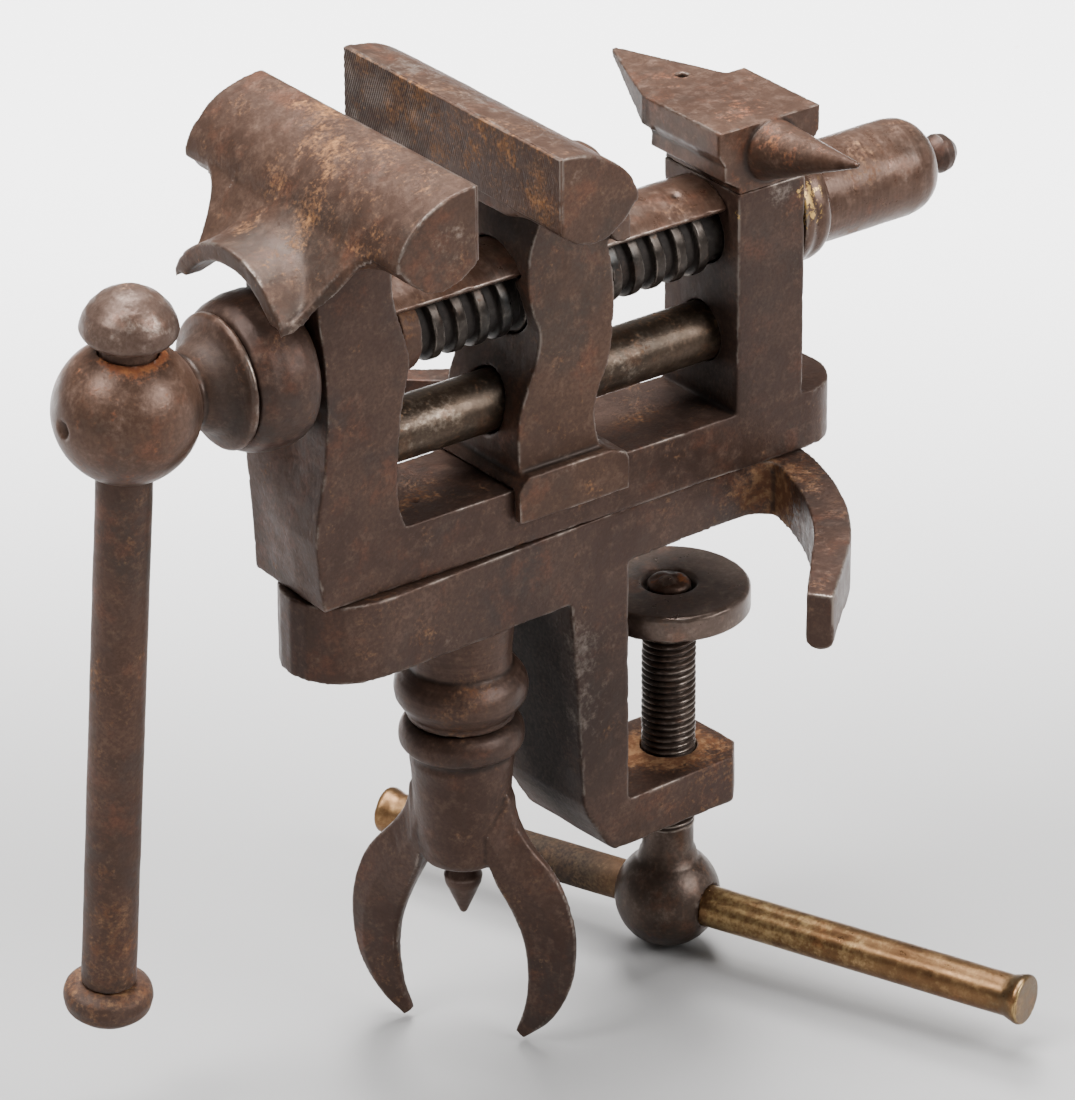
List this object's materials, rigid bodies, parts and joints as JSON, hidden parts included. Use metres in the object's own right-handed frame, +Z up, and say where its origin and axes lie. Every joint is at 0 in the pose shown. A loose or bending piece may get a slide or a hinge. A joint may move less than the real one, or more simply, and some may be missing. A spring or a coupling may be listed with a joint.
{
  "type": "clamp-on bench vice",
  "caption": "Clamp-on jeweller's bench vice with a swivel head, wide jaws, sliding rear jaw, small horned anvil and screw clamp.",
  "frame": {"origin": "on the flat underside of the clamp frame's top bar, on the clamp screw's axis, where the bench top bears", "axes": "+X along the main screw from its ball end towards the rear barrel, +Y along the jaws towards the anvil's pike, +Z up"},
  "size_m": [0.1569, 0.1069, 0.1495],
  "materials": {
    "iron": "dark brown patina with rust freckles",
    "rusty_iron": "rusty",
    "worn_steel": "worn bright patches over dark steel",
    "dark_steel": "dark oiled steel",
    "brass": "mottled old brass"
  },
  "bodies": {
    "clamp": {"clamp_frame": "iron"},
    "head": {"bed_frame": "iron", "front_jaw": "iron", "screw_cover": "iron", "guide_rod": "worn_steel", "screw_barrel": "iron", "barrel_bead": "iron", "barrel_finial": "iron", "anvil": "iron", "pivot_bolt": "iron"},
    "jaw": {"sliding_jaw": "iron"},
    "screw": {"main_screw": "dark_steel", "thrust_collar": "iron", "retaining_collar": "rusty_iron", "retaining_pin": "worn_steel"},
    "tommy": {"tommy_bar": "iron", "tommy_top_knob": "worn_steel", "tommy_end_knob": "iron"},
    "swivel_collar": {"pivot_collar": "iron"},
    "nut": {"wing_nut": "iron"},
    "pad": {"clamp_pad": "dark_steel"},
    "clamp_spindle": {"clamp_screw": "dark_steel"},
    "brass_bar": {"clamp_bar": "brass"}
  },
  "joints": [
    {"name": "head_swivel", "type": "hinge", "parent": "clamp", "child": "head", "pos_m": [-0.03984, -0.00216, 0], "axis": [0, 0, 1], "range_deg": [-75, 75]},
    {"name": "screw_turn", "type": "hinge", "parent": "head", "child": "screw", "pos_m": [-0.06949, -0.00216, 0.04469], "axis": [1, 0, 0], "range_deg": [-1430, 1225]},
    {"name": "jaw_slide", "type": "slide", "parent": "head", "child": "jaw", "axis": [1, 0, 0], "range_m": [-0.0133, 0.0155]},
    {"name": "tommy_slide", "type": "slide", "parent": "screw", "child": "tommy", "axis": [0, -0.1097, 0.994], "range_m": [0, 0.084]},
    {"name": "collar_drop", "type": "slide", "parent": "head", "child": "swivel_collar", "axis": [0, 0, 1], "range_m": [-0.00187, 0]},
    {"name": "wing_nut_turn", "type": "hinge", "parent": "swivel_collar", "child": "nut", "pos_m": [-0.03984, -0.00216, 0], "axis": [0, 0, 1], "range_deg": [-540, 0]},
    {"name": "pad_lift", "type": "slide", "parent": "clamp", "child": "pad", "axis": [0, 0, 1], "range_m": [-0.00021, 0.000105]},
    {"name": "clamp_screw_turn", "type": "hinge", "parent": "pad", "child": "clamp_spindle", "pos_m": [0, 0, -0.05], "axis": [0, 0, 1], "range_deg": [-72.5, 36.5]},
    {"name": "bar_slide", "type": "slide", "parent": "clamp_spindle", "child": "brass_bar", "axis": [0.3698, -0.9291, 0], "range_m": [-0.05, 0.0395]}
  ],
  "couplings": [
    {"joint": "jaw_slide", "follows": "screw_turn", "m_per_rad": -0.0006207},
    {"joint": "wing_nut_turn", "follows": "collar_drop", "rad_per_m": 5026.5},
    {"joint": "clamp_screw_turn", "follows": "pad_lift", "rad_per_m": 5984}
  ]
}
